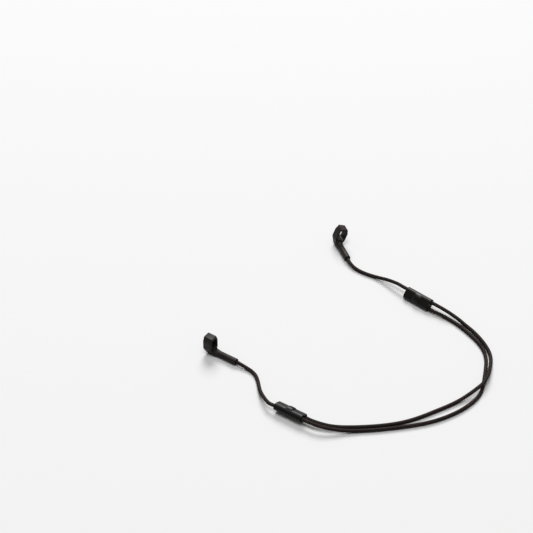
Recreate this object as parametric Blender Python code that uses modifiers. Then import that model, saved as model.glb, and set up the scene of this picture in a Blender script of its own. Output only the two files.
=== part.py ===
"""Adjustable eyeglass retainer strap, laid out on a table.

Two moulded rubber grips stretch over the temples of a pair of glasses. Each grip holds one end of a
thin cord. Each cord runs through the slider on its own side, on to the slider of the other side, and
ends there, so that moving the sliders along the cords changes the length of the loop behind the head.

Units are metres, +Z is up, +Y points to the glasses, +X to the wearer's right.
"""
import math

import bmesh
import bpy
from mathutils import Matrix, Vector

MM = 0.001

# Cord and what holds its ends, in mm
CORD_D = 2.1            # outer diameter of the cord
CORD_GAP = 0.2          # radial gap between a cord and the bore it runs in
STOP_GAP = 0.2          # gap around the crimped stop in its pocket
STOP_RISE = 0.6         # how much wider the stop is than the cord
STOP_LENGTH = 3.0
END_GAP = 0.3           # from the cord's end to its stop
BORE_D = CORD_D + 2 * CORD_GAP
STOP_D = CORD_D + STOP_RISE
POCKET_D = STOP_D + 2 * STOP_GAP
POCKET_LENGTH = STOP_LENGTH + END_GAP + STOP_GAP

# Temple grip, in mm, in its own frame: +Y forward along the temple, origin where the cord leaves it
SLEEVE_LENGTH = 15.3    # from the cord's exit to the collar's rear face
SLEEVE_WALL = 0.65
SLEEVE_D = BORE_D + 2 * SLEEVE_WALL
COLLAR_LENGTH = 6.0
SLOT_WIDTH = 4.6        # across the temple
SLOT_HEIGHT = 6.6
SLOT_ROUND = 0.6        # corner radius of the slot
SIDE_WALL = 1.0
TOP_WALL = 1.1
FLOOR_WALL = 1.15       # between the slot and the stop's pocket
KEEL_WALL = 0.65        # below the stop's pocket
TOP_CHAMFER = (1.25, 2.3)   # in from the side, down from the top
KEEL_HALF = 1.3         # half the width of the flat underside
KEEL_RISE = 4.4         # from the underside to the full width
SHOULDER_LENGTH = 3.5   # taper from the collar down to the sleeve
SHOULDER_INSET = 0.4    # the shoulder starts this much inside the collar's sides
TOE_LENGTH = 1.7        # chamfer under the collar's front
TOE_HEIGHT = 3.4
POCKET_SETBACK = 0.5    # the pocket starts this far behind the collar's rear face

# Slider, in mm, in its own frame: +Y towards the grips, +X towards the channel that slides
SLIDER_LENGTH = 18.0
SLIDER_WALL = 0.7       # above and below the stop's pocket
SLIDER_EDGE = 0.25      # outside the stop's pocket
CHANNEL_WEB = 1.2       # between the sliding channel and the stop's pocket
SEAM = 0.2              # parting gap between the two shells
END_ROUND = 0.35
BAND_LENGTH = 5.0       # raised band round the middle, above and below the stop
BAND_WIDTH = 4.2
BAND_RISE = 0.8
CHANNEL_PITCH = POCKET_D / 2 + CHANNEL_WEB + BORE_D / 2
SLIDER_THICKNESS = POCKET_D + 2 * SLIDER_WALL
SLIDER_WIDTH = CHANNEL_PITCH + POCKET_D + 2 * SLIDER_EDGE

# Layout on the table, in mm and degrees
# grip: (x, y) of the cord's exit, yaw of the sleeve, roll about the sleeve
GRIPS = {
    "right": {"exit": (57.7, 23.1), "yaw": -33.1, "roll": 22.0},
    "left": {"exit": (-56.2, 18.6), "yaw": 3.6, "roll": 0.0},
}
# slider: its middle, the yaw of its length, and its roll about it; up is the shell that faces up
SLIDERS = {
    "right": {"middle": (52.2, -32.8, 3.4), "yaw": -3.9, "roll": -47.0, "up": 1},
    "left": {"middle": (-70.0, -30.6, 3.4), "yaw": 3.8, "roll": 208.0, "up": -1},
}
LEAD = 4.0                  # straight stretch of cord at each mouth of a slider
POINT_SPACING = 4.5         # between the tube's points

# Cord routes between the pieces they pass through, hand-laid, in mm
RIGHT_GRIP_TO_SLIDER = [
    (55.8, 20.1, 2.2), (54.5, 16.6, 1.7), (54.0, 12.6, 1.25), (54.1, 8.1, 1.15), (54.8, 3.1, 1.2),
    (55.4, -1.9, 1.8), (55.6, -6.9, 2.9), (55.3, -11.9, 4.0), (54.9, -16.4, 4.7)]
RIGHT_SLIDER_TO_LEFT_SLIDER = [
    (52.6, -49.4, 4.7), (52.7, -54.4, 3.9), (52.8, -59.9, 2.6), (52.1, -65.9, 1.4), (50.4, -72.4, 1.15),
    (48.0, -78.4, 1.15), (44.8, -84.4, 1.15), (41.1, -89.5, 1.2), (36.8, -93.4, 1.5), (31.8, -96.3, 2.3),
    (26.3, -98.9, 3.1), (20.3, -101.1, 3.6), (14.3, -102.1, 3.7), (8.8, -101.5, 3.5), (3.8, -100.3, 2.7),
    (-1.2, -98.7, 1.8), (-6.2, -96.9, 1.25), (-12.2, -94.6, 1.15), (-18.7, -91.8, 1.15),
    (-25.0, -89.1, 1.15), (-30.8, -86.2, 1.15), (-36.2, -82.9, 1.15), (-41.4, -78.9, 1.15),
    (-46.5, -74.2, 1.15), (-51.6, -68.9, 1.15), (-56.6, -63.1, 1.15), (-61.0, -57.3, 1.2),
    (-64.4, -51.7, 1.6)]
LEFT_GRIP_TO_SLIDER = [
    (-56.1, 15.1, 2.0), (-55.9, 11.6, 1.5), (-56.0, 8.1, 1.2), (-57.2, 4.1, 1.15), (-59.8, 0.4, 1.2),
    (-63.2, -3.2, 1.7), (-66.7, -7.0, 2.6), (-69.8, -11.4, 3.7)]
LEFT_SLIDER_TO_RIGHT_SLIDER = [
    (-70.3, -47.4, 4.3), (-68.8, -51.7, 3.8), (-66.2, -56.2, 3.0), (-63.1, -60.4, 2.1), (-59.8, -64.2, 1.5),
    (-56.1, -68.2, 1.2), (-51.2, -73.5, 1.15), (-45.4, -79.2, 1.15), (-39.7, -84.4, 1.15),
    (-34.2, -89.1, 1.15), (-28.7, -93.3, 1.15), (-22.7, -97.0, 1.15), (-16.2, -100.1, 1.15),
    (-9.7, -102.4, 1.15), (-2.7, -104.0, 1.15), (4.3, -104.5, 1.15), (10.3, -103.7, 1.15),
    (16.3, -101.4, 1.15), (21.8, -98.7, 1.15), (27.3, -95.9, 1.15), (32.8, -92.8, 1.15),
    (37.1, -89.6, 1.15), (40.6, -85.9, 1.15), (43.4, -81.4, 1.15), (45.6, -76.4, 1.15),
    (47.4, -71.1, 1.15), (48.9, -65.7, 1.15), (50.0, -60.3, 1.15), (50.5, -54.9, 1.25), (50.3, -49.9, 1.65)]


def clear_scene():
    for obj in list(bpy.data.objects):
        bpy.data.objects.remove(obj, do_unlink=True)
    for collection in list(bpy.data.collections):
        bpy.data.collections.remove(collection)


def new_collection(name):
    collection = bpy.data.collections.new(name)
    bpy.context.scene.collection.children.link(collection)
    return collection


def new_material(name, color, roughness, metallic=0.0):
    material = bpy.data.materials.new(name)
    material.use_nodes = True
    shader = material.node_tree.nodes["Principled BSDF"]
    shader.inputs["Base Color"].default_value = (*color, 1.0)
    shader.inputs["Roughness"].default_value = roughness
    shader.inputs["Metallic"].default_value = metallic
    return material


clear_scene()
PARTS = new_collection("eyeglass_retainer_strap")
CUTTERS = new_collection("cutters")
RUBBER = new_material("black_moulded_rubber", (0.020, 0.019, 0.018), 0.62)
PLASTIC = new_material("black_matt_plastic", (0.012, 0.012, 0.013), 0.48)
CORD = new_material("black_braided_cord", (0.017, 0.014, 0.013), 0.8)
STEEL = new_material("crimped_steel", (0.45, 0.44, 0.43), 0.35, 1.0)


def add_object(name, mesh, frame, collection, material=None):
    obj = bpy.data.objects.new(name, mesh)
    obj.parent = frame
    collection.objects.link(obj)
    if material:
        mesh.materials.append(material)
    if collection == CUTTERS:
        obj.hide_render = True
        obj.display_type = "WIRE"
    return obj


def add_frame(name, matrix):
    frame = bpy.data.objects.new(name, None)
    frame.matrix_world = matrix
    PARTS.objects.link(frame)
    return frame


def cut(obj, cutter, operation="DIFFERENCE"):
    modifier = obj.modifiers.new(cutter.name, "BOOLEAN")
    modifier.operation = operation
    modifier.solver = "EXACT"
    modifier.object = cutter


def rounded(obj, width, segments=2, angle=50.0):
    modifier = obj.modifiers.new("edge_round", "BEVEL")
    modifier.width = width * MM
    modifier.segments = segments
    modifier.limit_method = "ANGLE"
    modifier.angle_limit = math.radians(angle)


def box(size, centre):
    """Mesh of a box, sizes and centre in mm."""
    bm = bmesh.new()
    bmesh.ops.create_cube(bm, size=1.0)
    place = Matrix.Translation(Vector(centre) * MM) @ Matrix.Diagonal((*(Vector(size) * MM), 1.0))
    bmesh.ops.transform(bm, matrix=place, verts=bm.verts)
    mesh = bpy.data.meshes.new("box")
    bm.to_mesh(mesh)
    bm.free()
    return mesh


def rod(radius, start, end, centre=(0.0, 0.0), segments=32, end_radius=None, squash=1.0):
    """Mesh of a cylinder or cone along Y from start to end, in mm; squash flattens it in Z."""
    bm = bmesh.new()
    bmesh.ops.create_cone(
        bm, cap_ends=True, segments=segments, radius1=radius * MM,
        radius2=(radius if end_radius is None else end_radius) * MM, depth=(end - start) * MM)
    turn = Matrix.Diagonal((1.0, 1.0, squash, 1.0)) @ Matrix.Rotation(math.radians(-90), 4, "X")
    middle = Vector((centre[0], (start + end) / 2, centre[1])) * MM
    bmesh.ops.transform(bm, matrix=Matrix.Translation(middle) @ turn, verts=bm.verts)
    mesh = bpy.data.meshes.new("rod")
    bm.to_mesh(mesh)
    bm.free()
    mesh.shade_smooth()
    return mesh


def prism(points, start, end):
    """Mesh of a flat XZ outline, in mm, extruded along Y from start to end."""
    curve = bpy.data.curves.new("outline", "CURVE")
    curve.dimensions = "2D"
    curve.fill_mode = "BOTH"
    curve.extrude = (end - start) / 2 * MM
    spline = curve.splines.new("POLY")
    spline.use_cyclic_u = True
    spline.points.add(len(points) - 1)
    for point, (x, z) in zip(spline.points, points):
        point.co = (x * MM, z * MM, 0.0, 1.0)
    outline = bpy.data.objects.new("outline", curve)
    CUTTERS.objects.link(outline)
    middle = Matrix.Translation((0.0, (start + end) / 2 * MM, 0.0))
    return curve_to_mesh(outline, middle @ Matrix.Rotation(math.radians(90), 4, "X"))


def curve_to_mesh(obj, matrix):
    """The evaluated curve as one welded mesh, moved by matrix; the curve is removed."""
    bpy.context.view_layer.update()
    evaluated = obj.evaluated_get(bpy.context.evaluated_depsgraph_get())
    mesh = bpy.data.meshes.new_from_object(evaluated)
    bm = bmesh.new()
    bm.from_mesh(mesh)
    bmesh.ops.remove_doubles(bm, verts=bm.verts, dist=0.01 * MM)
    bmesh.ops.transform(bm, matrix=matrix, verts=bm.verts)
    bmesh.ops.recalc_face_normals(bm, faces=bm.faces)
    bm.to_mesh(mesh)
    bm.free()
    bpy.data.objects.remove(obj, do_unlink=True)
    return mesh


# Temple grip

KEEL_Z = -(POCKET_D / 2 + KEEL_WALL)        # underside of the collar, from the sleeve's axis
SLOT_FLOOR_Z = POCKET_D / 2 + FLOOR_WALL
COLLAR_TOP_Z = SLOT_FLOOR_Z + SLOT_HEIGHT + TOP_WALL
COLLAR_HALF = SLOT_WIDTH / 2 + SIDE_WALL
COLLAR_REAR = SLEEVE_LENGTH
COLLAR_FRONT = COLLAR_REAR + COLLAR_LENGTH
POCKET_START = COLLAR_REAR - POCKET_SETBACK


def collar_outline():
    """Right half of the collar's section from keel to top, then the same mirrored."""
    half = [
        (KEEL_HALF, KEEL_Z), (COLLAR_HALF, KEEL_Z + KEEL_RISE),
        (COLLAR_HALF, COLLAR_TOP_Z - TOP_CHAMFER[1]), (COLLAR_HALF - TOP_CHAMFER[0], COLLAR_TOP_Z)]
    return half + [(-x, z) for x, z in reversed(half)]


def grip_matrix(side):
    """World frame of a grip, which rests on the lowest corner of its rolled collar."""
    place = GRIPS[side]
    roll = math.radians(place["roll"])
    axis_z = max(x * math.sin(roll) - z * math.cos(roll) for x, z in collar_outline())
    x, y = place["exit"]
    return (Matrix.Translation(Vector((x, y, axis_z)) * MM)
            @ Matrix.Rotation(math.radians(place["yaw"]), 4, "Z") @ Matrix.Rotation(roll, 4, "Y"))


def make_grip(side):
    frame = add_frame(f"{side}_grip_frame", grip_matrix(side))
    grip = add_object(f"{side}_temple_grip", prism(collar_outline(), COLLAR_REAR, COLLAR_FRONT), frame,
                      PARTS, RUBBER)
    rounded(grip, 0.4)

    sleeve = rod(SLEEVE_D / 2, 0.0, COLLAR_REAR + COLLAR_LENGTH / 4)
    shoulder = rod(SLEEVE_D / 2, COLLAR_REAR - SHOULDER_LENGTH, COLLAR_REAR + COLLAR_LENGTH / 8,
                   end_radius=COLLAR_HALF - SHOULDER_INSET, squash=-KEEL_Z / COLLAR_HALF)
    slot = box((SLOT_WIDTH, 3 * COLLAR_LENGTH, SLOT_HEIGHT),
               (0.0, COLLAR_REAR + COLLAR_LENGTH / 2, SLOT_FLOOR_Z + SLOT_HEIGHT / 2))
    bore = rod(BORE_D / 2, -1.0, POCKET_START + POCKET_LENGTH / 2)
    pocket = rod(POCKET_D / 2, POCKET_START, POCKET_START + POCKET_LENGTH)
    toe = box((4 * COLLAR_HALF, 2 * TOE_LENGTH, 4 * TOE_HEIGHT), (0.0, TOE_LENGTH, 0.0))

    cut(grip, add_object(f"{side}_sleeve_add", sleeve, frame, CUTTERS), "UNION")
    cut(grip, add_object(f"{side}_shoulder_add", shoulder, frame, CUTTERS), "UNION")
    slot_cutter = add_object(f"{side}_slot_cut", slot, frame, CUTTERS)
    rounded(slot_cutter, SLOT_ROUND, segments=3)
    cut(grip, slot_cutter)
    cut(grip, add_object(f"{side}_cord_bore_cut", bore, frame, CUTTERS))
    cut(grip, add_object(f"{side}_stop_pocket_cut", pocket, frame, CUTTERS))
    toe_cutter = add_object(f"{side}_toe_cut", toe, frame, CUTTERS)
    toe_cutter.location = (0.0, (COLLAR_FRONT - TOE_LENGTH) * MM, KEEL_Z * MM)
    toe_cutter.rotation_euler.x = -math.atan2(TOE_LENGTH, TOE_HEIGHT)
    cut(grip, toe_cutter)

    stop_start = POCKET_START + END_GAP
    stop = rod(STOP_D / 2, stop_start, stop_start + STOP_LENGTH, segments=24)
    rounded(add_object(f"{side}_grip_cord_stop", stop, frame, PARTS, STEEL), 0.3)


# Slider

BAND_HEIGHT = SLIDER_THICKNESS + 2 * BAND_RISE
SLIDING_X = CHANNEL_PITCH / 2
FIXED_X = -CHANNEL_PITCH / 2
SLIDER_POCKET_END = POCKET_LENGTH / 2


def stadium(width, height, steps=12):
    """Closed outline with two flat sides and two round ends."""
    radius = height / 2
    flat = width / 2 - radius
    angles = [math.pi * i / steps - math.pi / 2 for i in range(steps + 1)]
    right = [(flat + radius * math.cos(a), radius * math.sin(a)) for a in angles]
    return right + [(-x, -z) for x, z in right]


def slider_matrix(side):
    place = SLIDERS[side]
    return (Matrix.Translation(Vector(place["middle"]) * MM)
            @ Matrix.Rotation(math.radians(place["yaw"]), 4, "Z")
            @ Matrix.Rotation(math.radians(place["roll"]), 4, "Y"))


def make_slider(side):
    frame = add_frame(f"{side}_slider_travel", slider_matrix(side))
    half_length = SLIDER_LENGTH / 2
    band = add_object(f"{side}_band_add", box((BAND_WIDTH, BAND_LENGTH, BAND_HEIGHT), (0.0, 0.0, 0.0)),
                      frame, CUTTERS)
    rounded(band, BAND_RISE)
    sliding = rod(BORE_D / 2, -half_length - 1.0, half_length + 1.0, (SLIDING_X, 0.0))
    fixed = rod(BORE_D / 2, -half_length - 1.0, 0.0, (FIXED_X, 0.0))
    pocket = rod(POCKET_D / 2, -SLIDER_POCKET_END, SLIDER_POCKET_END, (FIXED_X, 0.0))
    channels = [
        add_object(f"{side}_sliding_channel_cut", sliding, frame, CUTTERS),
        add_object(f"{side}_fixed_channel_cut", fixed, frame, CUTTERS),
        add_object(f"{side}_slider_pocket_cut", pocket, frame, CUTTERS)]

    block = 2 * SLIDER_WIDTH
    for word, facing in (("upper", SLIDERS[side]["up"]), ("lower", -SLIDERS[side]["up"])):
        outline = prism(stadium(SLIDER_WIDTH, SLIDER_THICKNESS), -half_length, half_length)
        outline.shade_smooth()
        shell = add_object(f"{side}_slider_{word}_shell", outline, frame, PARTS, PLASTIC)
        rounded(shell, END_ROUND)
        cut(shell, band, "UNION")
        other_half = box((block, 2 * SLIDER_LENGTH, block), (0.0, 0.0, facing * (SEAM - block) / 2))
        cut(shell, add_object(f"{side}_{word}_split_cut", other_half, frame, CUTTERS))
        for channel in channels:
            cut(shell, channel)

    stop_start = -SLIDER_POCKET_END + END_GAP
    stop = rod(STOP_D / 2, stop_start, stop_start + STOP_LENGTH, (FIXED_X, 0.0), segments=24)
    rounded(add_object(f"{side}_slider_cord_stop", stop, frame, PARTS, STEEL), 0.3)


# Cords

def local_point(matrix, x, y):
    return matrix @ (Vector((x, y, 0.0)) * MM)


def grip_end(side):
    """From the cord's end in the grip's pocket to the mouth of the sleeve."""
    matrix = grip_matrix(side)
    return [local_point(matrix, 0.0, y) for y in (POCKET_START, POCKET_START / 2, 0.0)]


def through_slider(side):
    """Straight through the sliding channel, from the grip's side to the far side."""
    matrix = slider_matrix(side)
    half = SLIDER_LENGTH / 2
    return [local_point(matrix, SLIDING_X, y) for y in (half + LEAD, half, 0.0, -half, -half - LEAD)]


def into_slider(side):
    """In at the far mouth of the fixed channel, up to the stop's pocket."""
    matrix = slider_matrix(side)
    mouth = -SLIDER_LENGTH / 2
    inside = (mouth - SLIDER_POCKET_END) / 2
    return [local_point(matrix, FIXED_X, y) for y in (mouth - LEAD, mouth, inside, -SLIDER_POCKET_END)]


def route(side, other, to_slider, to_other):
    return (grip_end(side) + [Vector(p) * MM for p in to_slider] + through_slider(side)
            + [Vector(p) * MM for p in to_other] + into_slider(other))


def smooth_path(points, spacing):
    """Points at even spacing on a centripetal Catmull-Rom curve through the route."""
    ends = [2 * points[0] - points[1]] + points + [2 * points[-1] - points[-2]]
    fine = []
    for p0, p1, p2, p3 in zip(ends, ends[1:], ends[2:], ends[3:]):
        t1 = (p1 - p0).length ** 0.5
        t2 = t1 + (p2 - p1).length ** 0.5
        t3 = t2 + (p3 - p2).length ** 0.5
        for step in range(16):
            t = t1 + (t2 - t1) * step / 16
            a1 = p0.lerp(p1, t / t1)
            a2 = p1.lerp(p2, (t - t1) / (t2 - t1))
            a3 = p2.lerp(p3, (t - t2) / (t3 - t2))
            b1 = a1.lerp(a2, t / t2)
            b2 = a2.lerp(a3, (t - t1) / (t3 - t1))
            fine.append(b1.lerp(b2, (t - t1) / (t2 - t1)))
    fine.append(points[-1])

    lengths = [0.0]
    for a, b in zip(fine, fine[1:]):
        lengths.append(lengths[-1] + (b - a).length)
    count = round(lengths[-1] / spacing)
    even, i = [], 0
    for k in range(count + 1):
        target = lengths[-1] * k / count
        while i < len(fine) - 2 and lengths[i + 1] < target:
            i += 1
        even.append(fine[i].lerp(fine[i + 1], (target - lengths[i]) / (lengths[i + 1] - lengths[i])))
    return even


def make_cord(name, points):
    curve = bpy.data.curves.new(name, "CURVE")
    curve.dimensions = "3D"
    curve.bevel_depth = CORD_D / 2 * MM
    curve.bevel_resolution = 2
    curve.use_fill_caps = True
    path = smooth_path(points, POINT_SPACING * MM)
    spline = curve.splines.new("POLY")
    spline.points.add(len(path) - 1)
    for point, co in zip(spline.points, path):
        point.co = (*co, 1.0)
    curve.materials.append(CORD)
    obj = bpy.data.objects.new(name, curve)
    PARTS.objects.link(obj)


for side_name in ("right", "left"):
    make_grip(side_name)
    make_slider(side_name)
make_cord("right_cord", route("right", "left", RIGHT_GRIP_TO_SLIDER, RIGHT_SLIDER_TO_LEFT_SLIDER))
make_cord("left_cord", route("left", "right", LEFT_GRIP_TO_SLIDER, LEFT_SLIDER_TO_RIGHT_SLIDER))
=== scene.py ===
"""Adjustable eyeglass retainer strap, laid out on a table: its looks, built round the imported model."""
import math

import bmesh
import bpy
from mathutils import Matrix, Vector


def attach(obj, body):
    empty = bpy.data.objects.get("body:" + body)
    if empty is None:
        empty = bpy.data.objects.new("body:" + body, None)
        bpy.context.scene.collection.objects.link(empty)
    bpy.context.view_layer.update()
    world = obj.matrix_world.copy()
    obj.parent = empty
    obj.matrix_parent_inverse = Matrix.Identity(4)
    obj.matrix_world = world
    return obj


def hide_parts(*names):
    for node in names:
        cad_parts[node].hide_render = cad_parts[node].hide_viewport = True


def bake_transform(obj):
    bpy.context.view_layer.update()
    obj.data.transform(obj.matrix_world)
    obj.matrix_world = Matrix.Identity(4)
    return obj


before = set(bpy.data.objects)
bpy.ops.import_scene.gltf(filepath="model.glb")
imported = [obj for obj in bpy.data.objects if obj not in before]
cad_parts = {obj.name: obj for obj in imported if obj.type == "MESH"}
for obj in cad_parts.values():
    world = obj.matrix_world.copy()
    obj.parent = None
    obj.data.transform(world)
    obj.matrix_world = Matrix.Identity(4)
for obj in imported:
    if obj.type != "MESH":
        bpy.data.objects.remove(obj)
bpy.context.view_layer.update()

MM = 0.001
STRAP = "cords_and_grips"       # the body that holds the cords and the grips


# Camera
# A long lens looks down on the strap from behind the wearer's left shoulder.

VIEW_AZIMUTH = math.radians(51.8)       # from straight behind, round to the left
VIEW_ELEVATION = math.radians(39.8)
VIEW_AIM = Vector((23.3, 59.4, 0.0)) * MM
VIEW_DISTANCE = 0.991

camera_data = bpy.data.cameras.new("camera")
camera_data.lens = 109.2
camera_data.sensor_width = 36.0
camera = bpy.data.objects.new("camera", camera_data)
bpy.context.scene.collection.objects.link(camera)
view_back = Vector((-math.sin(VIEW_AZIMUTH) * math.cos(VIEW_ELEVATION),
                    -math.cos(VIEW_AZIMUTH) * math.cos(VIEW_ELEVATION), math.sin(VIEW_ELEVATION)))
camera.location = VIEW_AIM + VIEW_DISTANCE * view_back
camera.rotation_euler = view_back.to_track_quat("Z", "Y").to_euler()
bpy.context.scene.camera = camera


# Table top and studio light
# A pale seamless sheet under a wide softbox beyond the strap, with a weaker one overhead. Tops shine
# with the far one, and upright sides stay dark.

SHEET_COLOUR = "#b6b6b6"
SHEET_SIZE = 6.0
ROOM_LIGHT = 0.30
SOFTBOXES = {                   # place and diameter in metres, power in watts
    "far": ((2.80, 2.15, 3.40), 2.6, 322.0),
    "overhead": ((-0.60, -0.30, 4.20), 2.3, 146.0)}


def linear(hex_colour):
    """Linear RGBA of an sRGB hex colour."""
    parts = [int(hex_colour[i:i + 2], 16) / 255 for i in (1, 3, 5)]
    return (*[c / 12.92 if c <= 0.04045 else ((c + 0.055) / 1.055) ** 2.4 for c in parts], 1.0)


def add_node(tree, kind, inputs=(), **settings):
    """Adds a node; inputs holds values or sockets, in order or by name, and settings its properties."""
    node = tree.nodes.new(kind)
    for name, value in settings.items():
        setattr(node, name, value)
    for key, value in inputs.items() if isinstance(inputs, dict) else enumerate(inputs):
        if isinstance(value, bpy.types.NodeSocket):
            tree.links.new(value, node.inputs[key])
        else:
            node.inputs[key].default_value = value
    return node


def new_material(name):
    """A material with an empty tree and its output node."""
    material = bpy.data.materials.new(name)
    material.use_nodes = True
    material.node_tree.nodes.clear()
    return material, material.node_tree


bpy.context.scene.view_settings.view_transform = "Standard"
world = bpy.data.worlds.new("studio")
world.use_nodes = True
world.node_tree.nodes["Background"].inputs["Color"].default_value = (1.0, 1.0, 1.0, 1.0)
world.node_tree.nodes["Background"].inputs["Strength"].default_value = ROOM_LIGHT
bpy.context.scene.world = world

for box_name, (place, size, power) in SOFTBOXES.items():
    light = bpy.data.lights.new(f"softbox_{box_name}", "AREA")
    light.shape = "DISK"
    light.size = size
    light.energy = power
    softbox = bpy.data.objects.new(f"softbox_{box_name}", light)
    softbox.location = place
    softbox.rotation_euler = Vector(place).to_track_quat("Z", "Y").to_euler()
    bpy.context.scene.collection.objects.link(softbox)

sheet_paint, tree = new_material("matt_paper_sheet")
shader = add_node(tree, "ShaderNodeBsdfPrincipled", {
    "Base Color": linear(SHEET_COLOUR), "Roughness": 0.9, "Specular IOR Level": 0.2})
add_node(tree, "ShaderNodeOutputMaterial", [shader.outputs[0]])
sheet_mesh = bpy.data.meshes.new("sheet")
half = SHEET_SIZE / 2
sheet_mesh.from_pydata([(-half, -half, 0), (half, -half, 0), (half, half, 0), (-half, half, 0)], [],
                       [(0, 1, 2, 3)])
sheet_mesh.materials.append(sheet_paint)
sheet = bpy.data.objects.new("table_top", sheet_mesh)
bpy.context.scene.collection.objects.link(sheet)


# Cords
# Each is a hollow braid of black polyester yarns, 2.1 mm thick. One end is crimped inside a grip. It
# runs through the slider of its own side, round behind the head, and into the slider of the other side.
# It lies along the imported cords: straight inside the pieces, with listed points between them.

CREST_DIAMETER = 2.18           # over the yarns, which stand a little proud
GRIP_MOUTHS = {                 # where the cord leaves the grip, its yaw, and its roll about the cord
    "right": (Vector((57.7, 23.1, 2.527)), math.radians(-33.1), math.radians(22.0)),
    "left": (Vector((-56.2, 18.6, 2.2)), math.radians(3.6), 0.0)}
SLIDER_MIDDLES = {              # the slider's middle, the yaw of its length, and its roll about that
    "right": (Vector((52.2, -32.8, 3.4)), math.radians(-3.9), math.radians(-47.0)),
    "left": (Vector((-70.0, -30.6, 3.4)), math.radians(3.8), math.radians(208.0))}
GRIP_CORD_END = 14.8            # from a grip's mouth to the cord's end inside it
SLIDER_HALF = 9.0               # half the length of a slider
CHANNEL_X = 2.0                 # from a slider's middle to each of its channels
SLIDER_CORD_END = 1.75          # from a slider's middle to the cord's end inside it
LEAD = 4.0                      # straight stretch of cord outside a slider
PATH_SPACING = 0.5              # between the points that the braid follows

RIGHT_GRIP_TO_SLIDER = [
    (55.8, 20.1, 2.2), (54.5, 16.6, 1.7), (54.0, 12.6, 1.25), (54.1, 8.1, 1.15), (54.8, 3.1, 1.2),
    (55.4, -1.9, 1.8), (55.6, -6.9, 2.9), (55.3, -11.9, 4.0), (54.9, -16.4, 4.7)]
RIGHT_SLIDER_TO_LEFT_SLIDER = [
    (52.6, -49.4, 4.7), (52.7, -54.4, 3.9), (52.8, -59.9, 2.6), (52.1, -65.9, 1.4), (50.4, -72.4, 1.15),
    (48.0, -78.4, 1.15), (44.8, -84.4, 1.15), (41.1, -89.5, 1.2), (36.8, -93.4, 1.5), (31.8, -96.3, 2.3),
    (26.3, -98.9, 3.1), (20.3, -101.1, 3.6), (14.3, -102.1, 3.7), (8.8, -101.5, 3.5), (3.8, -100.3, 2.7),
    (-1.2, -98.7, 1.8), (-6.2, -96.9, 1.25), (-12.2, -94.6, 1.15), (-18.7, -91.8, 1.15),
    (-25.0, -89.1, 1.15), (-30.8, -86.2, 1.15), (-36.2, -82.9, 1.15), (-41.4, -78.9, 1.15),
    (-46.5, -74.2, 1.15), (-51.6, -68.9, 1.15), (-56.6, -63.1, 1.15), (-61.0, -57.3, 1.2),
    (-64.4, -51.7, 1.6)]
LEFT_GRIP_TO_SLIDER = [
    (-56.1, 15.1, 2.0), (-55.9, 11.6, 1.5), (-56.0, 8.1, 1.2), (-57.2, 4.1, 1.15), (-59.8, 0.4, 1.2),
    (-63.2, -3.2, 1.7), (-66.7, -7.0, 2.6), (-69.8, -11.4, 3.7)]
LEFT_SLIDER_TO_RIGHT_SLIDER = [
    (-70.3, -47.4, 4.3), (-68.8, -51.7, 3.8), (-66.2, -56.2, 3.0), (-63.1, -60.4, 2.1), (-59.8, -64.2, 1.5),
    (-56.1, -68.2, 1.2), (-51.2, -73.5, 1.15), (-45.4, -79.2, 1.15), (-39.7, -84.4, 1.15),
    (-34.2, -89.1, 1.15), (-28.7, -93.3, 1.15), (-22.7, -97.0, 1.15), (-16.2, -100.1, 1.15),
    (-9.7, -102.4, 1.15), (-2.7, -104.0, 1.15), (4.3, -104.5, 1.15), (10.3, -103.7, 1.15),
    (16.3, -101.4, 1.15), (21.8, -98.7, 1.15), (27.3, -95.9, 1.15), (32.8, -92.8, 1.15),
    (37.1, -89.6, 1.15), (40.6, -85.9, 1.15), (43.4, -81.4, 1.15), (45.6, -76.4, 1.15),
    (47.4, -71.1, 1.15), (48.9, -65.7, 1.15), (50.0, -60.3, 1.15), (50.5, -54.9, 1.25), (50.3, -49.9, 1.65)]


def placed(place):
    """Matrix from a piece's own frame, in mm, to the strap's, in metres."""
    middle, yaw, roll = place
    return (Matrix.Scale(MM, 4) @ Matrix.Translation(middle) @ Matrix.Rotation(yaw, 4, "Z")
            @ Matrix.Rotation(roll, 4, "Y"))


def cord_route(side, other, to_slider, to_other):
    """Points in metres from the cord's end in its grip to its end in the other side's slider."""
    grip, slider, far = placed(GRIP_MOUTHS[side]), placed(SLIDER_MIDDLES[side]), placed(SLIDER_MIDDLES[other])
    inside_grip = [(0.0, y) for y in (GRIP_CORD_END, GRIP_CORD_END / 2, 0.0)]
    through = [(CHANNEL_X, y) for y in (SLIDER_HALF + LEAD, SLIDER_HALF, 0.0, -SLIDER_HALF,
                                       -SLIDER_HALF - LEAD)]
    into = [(-CHANNEL_X, y) for y in (-SLIDER_HALF - LEAD, -SLIDER_HALF,
                                      -(SLIDER_HALF + SLIDER_CORD_END) / 2, -SLIDER_CORD_END)]
    return ([grip @ Vector((x, y, 0.0)) for x, y in inside_grip] + [Vector(p) * MM for p in to_slider]
            + [slider @ Vector((x, y, 0.0)) for x, y in through] + [Vector(p) * MM for p in to_other]
            + [far @ Vector((x, y, 0.0)) for x, y in into])


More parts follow.
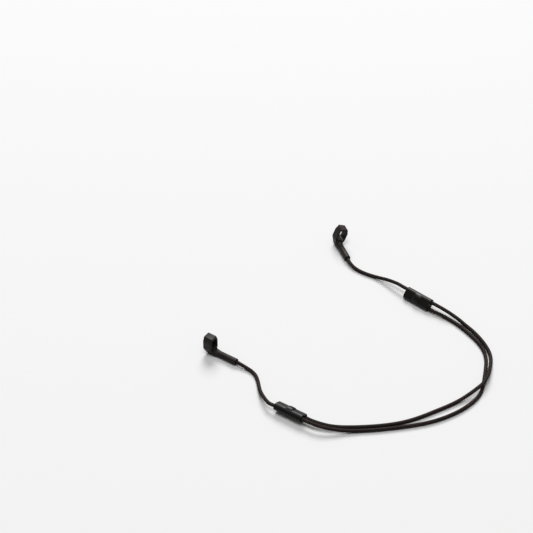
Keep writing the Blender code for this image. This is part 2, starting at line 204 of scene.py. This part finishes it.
def smooth_path(points, spacing, steps=16):
    """Points at even spacing on a centripetal Catmull-Rom curve through the route, and its length."""
    ends = [2 * points[0] - points[1]] + points + [2 * points[-1] - points[-2]]
    fine = []
    for p0, p1, p2, p3 in zip(ends, ends[1:], ends[2:], ends[3:]):
        t1 = (p1 - p0).length ** 0.5
        t2 = t1 + (p2 - p1).length ** 0.5
        t3 = t2 + (p3 - p2).length ** 0.5
        for step in range(steps):
            t = t1 + (t2 - t1) * step / steps
            a1 = p0.lerp(p1, t / t1)
            a2 = p1.lerp(p2, (t - t1) / (t2 - t1))
            a3 = p2.lerp(p3, (t - t2) / (t3 - t2))
            b1 = a1.lerp(a2, t / t2)
            b2 = a2.lerp(a3, (t - t1) / (t3 - t1))
            fine.append(b1.lerp(b2, (t - t1) / (t2 - t1)))
    fine.append(points[-1])
    lengths = [0.0]
    for a, b in zip(fine, fine[1:]):
        lengths.append(lengths[-1] + (b - a).length)
    count = round(lengths[-1] / spacing)
    even, i = [], 0
    for k in range(count + 1):
        target = lengths[-1] * k / count
        while i < len(fine) - 2 and lengths[i + 1] < target:
            i += 1
        even.append(fine[i].lerp(fine[i + 1], (target - lengths[i]) / (lengths[i + 1] - lengths[i])))
    return even, lengths[-1]


# The braid: eight carriers wind each way, over one and under one, and cross about every millimetre.

CARRIERS = 8
CROSSING_PITCH = 0.98           # along the cord, from one crossing to the next
YARN_RELIEF = 0.12              # from the crest of a yarn down to the gap beside it
RING_POINTS = 40
RING_PITCH = 0.18


def braid_pattern(tree, turn, along):
    """Sockets of the yarn on top: across it and lengthwise, from -0.5 to 0.5, and its height, 0 to 1.
    turn is the share of a full turn round the cord, and along the distance in mm."""
    carrier = add_node(tree, "ShaderNodeMath", [turn, CARRIERS], operation="MULTIPLY").outputs[0]
    crossing = add_node(tree, "ShaderNodeMath", [along, CROSSING_PITCH], operation="DIVIDE").outputs[0]
    cells, middles = [], []
    for winding in ("ADD", "SUBTRACT"):
        lane = add_node(tree, "ShaderNodeMath", [carrier, crossing], operation=winding).outputs[0]
        cells.append(add_node(tree, "ShaderNodeMath", [lane], operation="FLOOR").outputs[0])
        share = add_node(tree, "ShaderNodeMath", [lane, cells[-1]], operation="SUBTRACT").outputs[0]
        middles.append(add_node(tree, "ShaderNodeMath", [share, 0.5], operation="SUBTRACT").outputs[0])
    cell = add_node(tree, "ShaderNodeMath", cells, operation="ADD").outputs[0]
    top = add_node(tree, "ShaderNodeMath", [cell, 2.0], operation="FLOORED_MODULO").outputs[0]
    across = add_node(tree, "ShaderNodeMix", {0: top, 2: middles[0], 3: middles[1]}).outputs[0]
    lengthwise = add_node(tree, "ShaderNodeMix", {0: top, 2: middles[1], 3: middles[0]}).outputs[0]
    height = None
    for offset, drop in ((across, 3.4), (lengthwise, 1.5)):
        square = add_node(tree, "ShaderNodeMath", [offset, offset], operation="MULTIPLY").outputs[0]
        crown = add_node(tree, "ShaderNodeMath", [square, -drop, 1.0], operation="MULTIPLY_ADD").outputs[0]
        height = crown if height is None else add_node(
            tree, "ShaderNodeMath", [height, crown], operation="MULTIPLY").outputs[0]
    return across, lengthwise, height


braid = bpy.data.node_groups.new("braid_round_path", "GeometryNodeTree")
SOCKETS = {"Diameter": "NodeSocketFloat", "Relief": "NodeSocketFloat", "Ring Points": "NodeSocketInt",
           "Ring Pitch": "NodeSocketFloat", "Material": "NodeSocketMaterial"}
braid.interface.new_socket("Geometry", in_out="INPUT", socket_type="NodeSocketGeometry")
braid_inputs = {name: braid.interface.new_socket(name, in_out="INPUT", socket_type=kind).identifier
                for name, kind in SOCKETS.items()}
braid.interface.new_socket("Geometry", in_out="OUTPUT", socket_type="NodeSocketGeometry")
given = add_node(braid, "NodeGroupInput")
path_curve = add_node(braid, "GeometryNodeMeshToCurve", [given.outputs["Geometry"]])
path_rings = add_node(braid, "GeometryNodeResampleCurve", {
    "Curve": path_curve.outputs[0], "Length": given.outputs["Ring Pitch"]}, mode="LENGTH")
spline = add_node(braid, "GeometryNodeSplineParameter")
along_path = add_node(braid, "GeometryNodeCaptureAttribute", [path_rings.outputs[0]])
along_path.capture_items.new("FLOAT", "along")
braid.links.new(spline.outputs["Length"], along_path.inputs["along"])
radius = add_node(braid, "ShaderNodeMath", [given.outputs["Diameter"], 0.5], operation="MULTIPLY")
ring = add_node(braid, "GeometryNodeCurvePrimitiveCircle", {
    "Resolution": given.outputs["Ring Points"], "Radius": radius.outputs[0]})
round_ring = add_node(braid, "GeometryNodeCaptureAttribute", [ring.outputs[0]])
round_ring.capture_items.new("FLOAT", "turn")
braid.links.new(spline.outputs["Factor"], round_ring.inputs["turn"])
tube = add_node(braid, "GeometryNodeCurveToMesh", {
    "Curve": along_path.outputs[0], "Profile Curve": round_ring.outputs[0], "Fill Caps": True})
along_mm = add_node(braid, "ShaderNodeMath", [along_path.outputs["along"], 1 / MM], operation="MULTIPLY")
yarn_height = braid_pattern(braid, round_ring.outputs["turn"], along_mm.outputs[0])[2]
sunk = add_node(braid, "ShaderNodeMath", [yarn_height, 1.0], operation="SUBTRACT")
sunk_by = add_node(braid, "ShaderNodeMath", [sunk.outputs[0], given.outputs["Relief"]], operation="MULTIPLY")
outward = add_node(braid, "GeometryNodeInputNormal")
offset = add_node(braid, "ShaderNodeVectorMath", {0: outward.outputs[0], "Scale": sunk_by.outputs[0]},
                  operation="SCALE")
raised = add_node(braid, "GeometryNodeSetPosition", {
    "Geometry": tube.outputs[0], "Offset": offset.outputs[0]})
angle = add_node(braid, "ShaderNodeMath", [round_ring.outputs["turn"], 2 * math.pi], operation="MULTIPLY")
cosine = add_node(braid, "ShaderNodeMath", [angle.outputs[0]], operation="COSINE")
sine = add_node(braid, "ShaderNodeMath", [angle.outputs[0]], operation="SINE")
cord_place = add_node(braid, "ShaderNodeCombineXYZ", [
    cosine.outputs[0], sine.outputs[0], along_mm.outputs[0]])
kept_place = add_node(braid, "GeometryNodeStoreNamedAttribute", {
    "Geometry": raised.outputs[0], "Name": "cord_place", "Value": cord_place.outputs[0]},
    data_type="FLOAT_VECTOR", domain="POINT")
smooth = add_node(braid, "GeometryNodeSetShadeSmooth", [kept_place.outputs[0]])
real = add_node(braid, "GeometryNodeRealizeInstances", [smooth.outputs[0]])
painted = add_node(braid, "GeometryNodeSetMaterial", {
    "Geometry": real.outputs[0], "Material": given.outputs["Material"]})
add_node(braid, "NodeGroupOutput", [painted.outputs[0]])

# Polyester yarn: near black with a warm tint where it is worn, a soft sheen, and painted shade in the gaps
# between yarns. Filaments of real yarn are 0.02 mm thick, and are drawn at 0.1 mm so that they show.

YARN_COLOUR = "#170f0c"
YARN_WORN = "#281b15"
# painted shade: the near-black colour laid into the gaps between yarns
YARN_PAINTED_SHADE = "#050303"
FILAMENTS = 6                   # drawn across one yarn

braided_polyester, tree = new_material("braided_polyester")
cord_place = add_node(tree, "ShaderNodeAttribute", attribute_name="cord_place")
parts = add_node(tree, "ShaderNodeSeparateXYZ", [cord_place.outputs["Vector"]])
angle = add_node(tree, "ShaderNodeMath", [parts.outputs[1], parts.outputs[0]], operation="ARCTAN2")
turn = add_node(tree, "ShaderNodeMath", [angle.outputs[0], 2 * math.pi], operation="DIVIDE")
across, lengthwise, height = braid_pattern(tree, turn.outputs[0], parts.outputs[2])
place = add_node(tree, "ShaderNodeTexCoord")
wear = add_node(tree, "ShaderNodeTexNoise", {
    "Vector": place.outputs["Object"], "Scale": 1 / (9 * MM), "Detail": 3.0})
worn = add_node(tree, "ShaderNodeMapRange", {
    "Value": wear.outputs[0], "From Min": 0.42, "From Max": 0.75, "To Max": 0.6})
yarn = add_node(tree, "ShaderNodeMix", {
    0: worn.outputs[0], 6: linear(YARN_COLOUR), 7: linear(YARN_WORN)}, data_type="RGBA")
# Mask of the painted shade: where a yarn's height falls low, between yarns, the colour goes to the painted
# shade
gap_shade_mask = add_node(tree, "ShaderNodeMapRange", {"Value": height, "From Min": 0.1, "From Max": 0.6})
colour = add_node(tree, "ShaderNodeMix", {
    0: gap_shade_mask.outputs[0], 6: linear(YARN_PAINTED_SHADE), 7: yarn.outputs[2]}, data_type="RGBA")
ridges = add_node(tree, "ShaderNodeMath", [across, 2 * math.pi * FILAMENTS], operation="MULTIPLY")
filament = add_node(tree, "ShaderNodeMath", [ridges.outputs[0]], operation="COSINE")
thread_height = add_node(tree, "ShaderNodeMath", [filament.outputs[0], 0.12, height],
                         operation="MULTIPLY_ADD")
bump = add_node(tree, "ShaderNodeBump", {
    "Strength": 0.5, "Distance": 0.12 * MM, "Height": thread_height.outputs[0]})
shader = add_node(tree, "ShaderNodeBsdfPrincipled", {
    "Base Color": colour.outputs[2], "Roughness": 0.55, "Specular IOR Level": 0.1,
    "Normal": bump.outputs[0]})
add_node(tree, "ShaderNodeOutputMaterial", [shader.outputs[0]])

CORDS = {       # the side it comes from: its route, the far slider, and the stretch behind that slider; the left one is short, to keep clear of the other cord
                # which gives way as it slides; the left one is short, to keep clear of the other cord
    "right": (cord_route("right", "left", RIGHT_GRIP_TO_SLIDER, RIGHT_SLIDER_TO_LEFT_SLIDER),
              "left_slider", Vector((-67.3, -39.5, 0.0)), Vector((-12.5, 12.9, 0.0))),
    "left": (cord_route("left", "right", LEFT_GRIP_TO_SLIDER, LEFT_SLIDER_TO_RIGHT_SLIDER),
             "right_slider", Vector((50.1, -42.0, 0.0)), Vector((28.0, 21.0, 0.0)))}

for side, (route, far_slider, bend_end, bend) in CORDS.items():
    name = f"{side}_cord"
    path, cord_length = smooth_path(route, PATH_SPACING * MM)
    line = bpy.data.meshes.new(name)
    line.from_pydata(path, [(i, i + 1) for i in range(len(path) - 1)], [])
    host = bpy.data.objects.new(name, line)
    bpy.context.scene.collection.objects.link(host)
    nodes = host.modifiers.new("braid", "NODES")
    nodes.node_group = braid
    for socket, value in (("Diameter", CREST_DIAMETER * MM), ("Relief", YARN_RELIEF * MM),
                          ("Ring Points", RING_POINTS), ("Ring Pitch", RING_PITCH * MM),
                          ("Material", braided_polyester)):
        nodes[braid_inputs[socket]] = value
    bpy.context.view_layer.update()
    mesh = bpy.data.meshes.new_from_object(host.evaluated_get(bpy.context.evaluated_depsgraph_get()))
    bpy.data.objects.remove(host, do_unlink=True)
    cord = bpy.data.objects.new(f"braided_{name}", mesh)
    bpy.context.scene.collection.objects.link(cord)
    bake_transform(cord)
    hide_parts(name)


# Temple grips
# Each is one piece of soft charcoal rubber, moulded round a core: a collar with a slot that stretches
# over the temple, and a sleeve that holds the crimped end of the cord.

SLEEVE_RADIUS = 1.9
SLEEVE_LENGTH = 15.3            # from the cord's exit to the collar's rear face
COLLAR_FRONT = 21.3
COLLAR_HALF = 3.3
COLLAR_BOTTOM = -2.2            # heights are from the cord's axis
KEEL_HALF = 1.3
KEEL_TOP = 2.4
CHAMFER_BOTTOM = 7.4
CHAMFER_HALF = 2.15
COLLAR_TOP = 10.4
RIM_CHAMFER = 0.3               # round the collar's front and rear
SHOULDER_LENGTH = 3.5
SHOULDER_HALF = 2.7
SHOULDER_TOP = 1.2
SLOT_SIZE = (4.6, 6.6)
SLOT_FLOOR = 2.7
SLOT_ROUND = 1.1
BORE_RADIUS = 1.25
STOP_POCKET = (14.8, 18.3, 1.55)        # start, end and radius
TOE_LENGTH = 1.7                # chamfer under the collar's front
TOE_HEIGHT = 3.4
CUT_HALF = 5.0                  # half the width of the cutter for the toe, wider than the collar
CUT_BEYOND = 3.0                # how far a cutter reaches past the rubber
BORE_BEYOND = 1.0               # and how far a bore does
SLEEVE_INTO_COLLAR = 1.5        # the solids overlap, so that they join
SHOULDER_INTO_COLLAR = 0.5
SHOULDER_LEAN = 0.5             # its sides lean in by this much at the top
GRIP_VOXEL = 0.13
RUBBER_ROUNDING = 3             # smoothing passes, each of about half a voxel


def circle(radius, x=0.0, steps=64):
    return [(x + radius * math.cos(2 * math.pi * i / steps), radius * math.sin(2 * math.pi * i / steps))
            for i in range(steps)]


def rounded_rectangle(width, height, corner, z=0.0, steps=12):
    """Closed outline; with corner at half the height it has two flat sides and two round ends."""
    points = []
    for quarter, (sx, sz) in enumerate(((1, 1), (-1, 1), (-1, -1), (1, -1))):
        for i in range(steps + 1):
            turn = math.pi / 2 * (quarter + i / steps)
            points.append((sx * (width / 2 - corner) + corner * math.cos(turn),
                           z + sz * (height / 2 - corner) + corner * math.sin(turn)))
    return points


def loft(*rings):
    """Closed solid through rings, each (y, outline), capped at both ends."""
    bm = bmesh.new()
    loops = [[bm.verts.new((x, y, z)) for x, z in outline] for y, outline in rings]
    for back, front in zip(loops, loops[1:]):
        for i in range(len(back)):
            bm.faces.new((back[i - 1], back[i], front[i], front[i - 1]))
    bm.faces.new(loops[0])
    bm.faces.new(loops[-1])
    bmesh.ops.remove_doubles(bm, verts=bm.verts, dist=1e-5)
    bmesh.ops.recalc_face_normals(bm, faces=bm.faces)
    mesh = bpy.data.meshes.new("solid")
    bm.to_mesh(mesh)
    bm.free()
    return mesh


def hull(*rings):
    """Smallest convex solid round the rings."""
    bm = bmesh.new()
    for y, outline in rings:
        for x, z in outline:
            bm.verts.new((x, y, z))
    made = bmesh.ops.convex_hull(bm, input=bm.verts)
    inside = {v for v in made["geom_interior"] + made["geom_unused"] if isinstance(v, bmesh.types.BMVert)}
    bmesh.ops.delete(bm, geom=list(inside), context="VERTS")
    bmesh.ops.recalc_face_normals(bm, faces=bm.faces)
    mesh = bpy.data.meshes.new("solid")
    bm.to_mesh(mesh)
    bm.free()
    return mesh


def moulded(name, solids, hollows, voxel, passes, matrix, material):
    """Joins the solids, cuts out the hollows, and turns every edge softly, as a mould leaves it."""
    objects = []
    for mesh in solids + hollows:
        objects.append(bpy.data.objects.new("solid", mesh))
        bpy.context.scene.collection.objects.link(objects[-1])
    body = objects[0]
    for i, other in enumerate(objects[1:], 1):
        joint = body.modifiers.new("joint", "BOOLEAN")
        joint.operation = "UNION" if i < len(solids) else "DIFFERENCE"
        joint.solver = "EXACT"
        joint.object = other
    skin = body.modifiers.new("skin", "REMESH")
    skin.mode = "VOXEL"
    skin.voxel_size = voxel
    turned = body.modifiers.new("turned_edges", "SMOOTH")
    turned.factor = 0.5
    turned.iterations = passes
    bpy.context.view_layer.update()
    mesh = bpy.data.meshes.new_from_object(body.evaluated_get(bpy.context.evaluated_depsgraph_get()))
    for obj in objects:
        bpy.data.objects.remove(obj, do_unlink=True)
    mesh.transform(matrix)
    mesh.shade_smooth()
    mesh.materials.clear()
    mesh.materials.append(material)
    piece = bpy.data.objects.new(name, mesh)
    bpy.context.scene.collection.objects.link(piece)
    return piece


# Thermoplastic rubber: charcoal, satin, with the fine grain of a spark-eroded mould and a paler,
# smoother bloom where fingers rub it and along its edges.

RUBBER_COLOUR = "#16110f"
RUBBER_BLOOM = "#231b18"
MOULD_GRAIN = 0.22              # real grain is 0.05 mm, drawn coarser so that it shows

moulded_rubber, tree = new_material("moulded_thermoplastic_rubber")
place = add_node(tree, "ShaderNodeTexCoord")
patches = add_node(tree, "ShaderNodeTexNoise", {
    "Vector": place.outputs["Object"], "Scale": 1 / (5 * MM), "Detail": 4.0, "Roughness": 0.6})
bloom = add_node(tree, "ShaderNodeMapRange", {
    "Value": patches.outputs[0], "From Min": 0.4, "From Max": 0.7, "To Max": 0.8})
edges = add_node(tree, "ShaderNodeMapRange", {
    "Value": add_node(tree, "ShaderNodeNewGeometry").outputs["Pointiness"],
    "From Min": 0.52, "From Max": 0.62})
rubbed = add_node(tree, "ShaderNodeMath", [bloom.outputs[0], edges.outputs[0]], operation="MAXIMUM")
colour = add_node(tree, "ShaderNodeMix", {
    0: rubbed.outputs[0], 6: linear(RUBBER_COLOUR), 7: linear(RUBBER_BLOOM)}, data_type="RGBA")
gloss = add_node(tree, "ShaderNodeMapRange", {
    "Value": patches.outputs[0], "From Min": 0.3, "From Max": 0.7, "To Min": 0.62, "To Max": 0.48})
grain = add_node(tree, "ShaderNodeTexNoise", {
    "Vector": place.outputs["Object"], "Scale": 1 / (MOULD_GRAIN * MM), "Detail": 2.0})
bump = add_node(tree, "ShaderNodeBump", {
    "Strength": 0.35, "Distance": 0.04 * MM, "Height": grain.outputs[0]})
shader = add_node(tree, "ShaderNodeBsdfPrincipled", {
    "Base Color": colour.outputs[2], "Roughness": gloss.outputs[0], "Specular IOR Level": 0.15,
    "Normal": bump.outputs[0]})
add_node(tree, "ShaderNodeOutputMaterial", [shader.outputs[0]])

collar_half_outline = [(KEEL_HALF, COLLAR_BOTTOM), (COLLAR_HALF, KEEL_TOP), (COLLAR_HALF, CHAMFER_BOTTOM),
                       (CHAMFER_HALF, COLLAR_TOP)]
collar_outline = collar_half_outline + [(-x, z) for x, z in reversed(collar_half_outline)]
rim_outline = [(x * (1 - RIM_CHAMFER / COLLAR_HALF), z - math.copysign(RIM_CHAMFER, z - KEEL_TOP))
               for x, z in collar_outline]
shoulder_outline = [(KEEL_HALF, COLLAR_BOTTOM), (SHOULDER_HALF, 0.0),
                    (SHOULDER_HALF - SHOULDER_LEAN, SHOULDER_TOP)]
shoulder_outline += [(-x, z) for x, z in reversed(shoulder_outline)]
pocket_start, pocket_end, pocket_radius = STOP_POCKET

for side in ("right", "left"):
    collar = loft((SLEEVE_LENGTH, rim_outline), (SLEEVE_LENGTH + RIM_CHAMFER, collar_outline),
                  (COLLAR_FRONT - RIM_CHAMFER, collar_outline), (COLLAR_FRONT, rim_outline))
    sleeve = loft((0.0, circle(SLEEVE_RADIUS)), (SLEEVE_LENGTH + SLEEVE_INTO_COLLAR, circle(SLEEVE_RADIUS)))
    shoulder = hull((SLEEVE_LENGTH - SHOULDER_LENGTH, circle(SLEEVE_RADIUS)),
                    (SLEEVE_LENGTH + SHOULDER_INTO_COLLAR, shoulder_outline))
    slot = loft(*[(y, rounded_rectangle(*SLOT_SIZE, SLOT_ROUND, SLOT_FLOOR + SLOT_SIZE[1] / 2))
                  for y in (SLEEVE_LENGTH - CUT_BEYOND, COLLAR_FRONT + CUT_BEYOND)])
    bore = loft((-BORE_BEYOND, circle(BORE_RADIUS)), (pocket_start, circle(BORE_RADIUS)),
                (pocket_start, circle(pocket_radius)), (pocket_end, circle(pocket_radius)))
    toe = hull(*[(y, [(x, z) for x in (-CUT_HALF, CUT_HALF) for z in (COLLAR_BOTTOM - CUT_BEYOND, top)])
                 for y, top in ((COLLAR_FRONT, COLLAR_BOTTOM + TOE_HEIGHT),
                                (COLLAR_FRONT + CUT_BEYOND, COLLAR_BOTTOM + TOE_HEIGHT),
                                (COLLAR_FRONT - TOE_LENGTH, COLLAR_BOTTOM))])
    grip = moulded(f"{side}_rubber_grip", [collar, sleeve, shoulder], [slot, bore, toe], GRIP_VOXEL,
                   RUBBER_ROUNDING, placed(GRIP_MOUTHS[side]), moulded_rubber)
    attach(grip, STRAP)
    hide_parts(f"{side}_temple_grip")


# Sliders
# Each is two shells of hard black plastic, snapped and welded together along a fine seam. A low band
# round the middle gives room inside for the crimped end of the other side's cord.

SLIDER_WIDTH = 7.6
SLIDER_THICKNESS = 4.5
END_ROUND = 0.3
BAND_SIZE = (7.0, 6.1)          # width and height
BAND_FLAT = 1.1                 # half the length of its top
BAND_RAMP = 2.2                 # each slope down to the shell
BAND_FOOT = SLIDER_THICKNESS - 0.4      # where a slope ends, just under the shell's face
SEAM = 0.2
MOUTH_RADIUS = 1.72             # each channel flares at its ends, so that a bent cord runs in freely
MOUTH_DEPTH = 3.0
POCKET_RADIUS = 1.55
SPLIT_HALF = 9.0                # reach of the cutter that takes the other half away
SPLIT_HALF_LENGTH = 12.0
SLIDER_VOXEL = 0.11
PLASTIC_ROUNDING = 3


def rounded_bar(width, height, corner, half_length, edge, steps=8):
    """Bar along Y with its end edges turned."""
    rings = []
    for i in range(steps + 1):
        turn = math.pi / 2 * i / steps
        inset = edge * (1 - math.sin(turn))
        rings.append((half_length - edge * (1 - math.cos(turn)), rounded_rectangle(
            width - 2 * inset, height - 2 * inset, corner - inset)))
    return loft(*[(-y, outline) for y, outline in rings], *reversed(rings))


def swelling(width, height, flat, ramp, foot, steps=10):
    """Round-sided band that rises smoothly along Y from the foot's height to its own, and falls again."""
    rings = []
    for i in range(steps + 1):
        level = foot + (height - foot) * (1 - math.cos(math.pi * i / steps)) / 2
        rings.append((-flat - ramp + ramp * i / steps, rounded_rectangle(width, level, level / 2)))
    return loft(*rings, *[(-y, outline) for y, outline in reversed(rings)])


# Acetal: black, satin from the mould, with fine scuffs and edges rubbed a little paler.

PLASTIC_COLOUR = "#0b0908"
PLASTIC_SCUFF = "#191614"

black_acetal, tree = new_material("moulded_black_acetal")
place = add_node(tree, "ShaderNodeTexCoord")
stretch = add_node(tree, "ShaderNodeMapping", {
    "Vector": place.outputs["Object"], "Rotation": (0.0, 0.0, math.radians(28.0)), "Scale": (3.0, 1.0, 3.0)})
scratches = add_node(tree, "ShaderNodeTexNoise", {
    "Vector": stretch.outputs[0], "Scale": 1 / (0.9 * MM), "Detail": 6.0, "Roughness": 0.75})
scuff = add_node(tree, "ShaderNodeMapRange", {
    "Value": scratches.outputs[0], "From Min": 0.55, "From Max": 0.8, "To Max": 0.5})
edges = add_node(tree, "ShaderNodeMapRange", {
    "Value": add_node(tree, "ShaderNodeNewGeometry").outputs["Pointiness"],
    "From Min": 0.52, "From Max": 0.62, "To Max": 0.8})
rubbed = add_node(tree, "ShaderNodeMath", [scuff.outputs[0], edges.outputs[0]], operation="MAXIMUM")
colour = add_node(tree, "ShaderNodeMix", {
    0: rubbed.outputs[0], 6: linear(PLASTIC_COLOUR), 7: linear(PLASTIC_SCUFF)}, data_type="RGBA")
polish = add_node(tree, "ShaderNodeTexNoise", {
    "Vector": place.outputs["Object"], "Scale": 1 / (4 * MM), "Detail": 2.0})
gloss = add_node(tree, "ShaderNodeMapRange", {
    "Value": polish.outputs[0], "From Min": 0.3, "From Max": 0.7, "To Min": 0.34, "To Max": 0.44})
grain = add_node(tree, "ShaderNodeTexNoise", {
    "Vector": place.outputs["Object"], "Scale": 1 / (0.18 * MM), "Detail": 2.0})
bump = add_node(tree, "ShaderNodeBump", {
    "Strength": 0.2, "Distance": 0.03 * MM, "Height": grain.outputs[0]})
shader = add_node(tree, "ShaderNodeBsdfPrincipled", {
    "Base Color": colour.outputs[2], "Roughness": gloss.outputs[0], "Specular IOR Level": 0.15,
    "Normal": bump.outputs[0]})
add_node(tree, "ShaderNodeOutputMaterial", [shader.outputs[0]])

for side, up in (("right", 1), ("left", -1)):       # the left slider lies turned over
    for word, facing in (("upper", up), ("lower", -up)):
        bar = rounded_bar(SLIDER_WIDTH, SLIDER_THICKNESS, SLIDER_THICKNESS / 2, SLIDER_HALF, END_ROUND)
        band = swelling(*BAND_SIZE, BAND_FLAT, BAND_RAMP, BAND_FOOT)
        edge = SEAM / 2 * facing
        far_edge = -SPLIT_HALF * facing
        other_half = loft(*[(y, [(-SPLIT_HALF, edge), (SPLIT_HALF, edge), (SPLIT_HALF, far_edge),
                                 (-SPLIT_HALF, far_edge)]) for y in (-SPLIT_HALF_LENGTH, SPLIT_HALF_LENGTH)])
        bore, wide = circle(BORE_RADIUS, CHANNEL_X), circle(MOUTH_RADIUS, CHANNEL_X)
        sliding = loft((-SLIDER_HALF - BORE_BEYOND, wide), (-SLIDER_HALF, wide),
                       (MOUTH_DEPTH - SLIDER_HALF, bore), (SLIDER_HALF - MOUTH_DEPTH, bore),
                       (SLIDER_HALF, wide), (SLIDER_HALF + BORE_BEYOND, wide))
        bore, wide = circle(BORE_RADIUS, -CHANNEL_X), circle(MOUTH_RADIUS, -CHANNEL_X)
        pocket = circle(POCKET_RADIUS, -CHANNEL_X)
        fixed = loft((-SLIDER_HALF - BORE_BEYOND, wide), (-SLIDER_HALF, wide),
                     (MOUTH_DEPTH - SLIDER_HALF, bore), (-SLIDER_CORD_END, bore),
                     (-SLIDER_CORD_END, pocket), (SLIDER_CORD_END, pocket))
        shell = moulded(f"{side}_slider_{word}_half", [bar, band], [other_half, sliding, fixed],
                        SLIDER_VOXEL, PLASTIC_ROUNDING, placed(SLIDER_MIDDLES[side]), black_acetal)
        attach(shell, f"{side}_slider")
        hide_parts(f"{side}_slider_{word}_shell")


# Cord stops
# Short steel ferrules, crimped on the cord's ends. They sit in pockets inside the grips and sliders.

STEEL_COLOUR = "#b3afa9"
CRIMP_PITCH = 0.8               # between the dents of the crimping jaws
BAND_AT_UNIT_SCALE = 0.31       # width of one wave of the texture at scale 1

crimped_steel, tree = new_material("crimped_steel")
place = add_node(tree, "ShaderNodeTexCoord")
tarnish = add_node(tree, "ShaderNodeTexNoise", {
    "Vector": place.outputs["Object"], "Scale": 1 / (1.5 * MM), "Detail": 5.0})
gloss = add_node(tree, "ShaderNodeMapRange", {
    "Value": tarnish.outputs[0], "From Min": 0.3, "From Max": 0.7, "To Min": 0.25, "To Max": 0.45})
dents = add_node(tree, "ShaderNodeTexWave", {
    "Vector": place.outputs["Object"], "Scale": BAND_AT_UNIT_SCALE / (CRIMP_PITCH * MM), "Distortion": 0.5},
    bands_direction="Y")
bump = add_node(tree, "ShaderNodeBump", {
    "Strength": 0.6, "Distance": 0.08 * MM, "Height": dents.outputs[1]})
shader = add_node(tree, "ShaderNodeBsdfPrincipled", {
    "Base Color": linear(STEEL_COLOUR), "Metallic": 1.0, "Roughness": gloss.outputs[0],
    "Normal": bump.outputs[0]})
add_node(tree, "ShaderNodeOutputMaterial", [shader.outputs[0]])

for side in ("right", "left"):
    for holder in ("grip", "slider"):
        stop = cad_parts[f"{side}_{holder}_cord_stop"]
        for material_slot in stop.material_slots:
            material_slot.material = crimped_steel
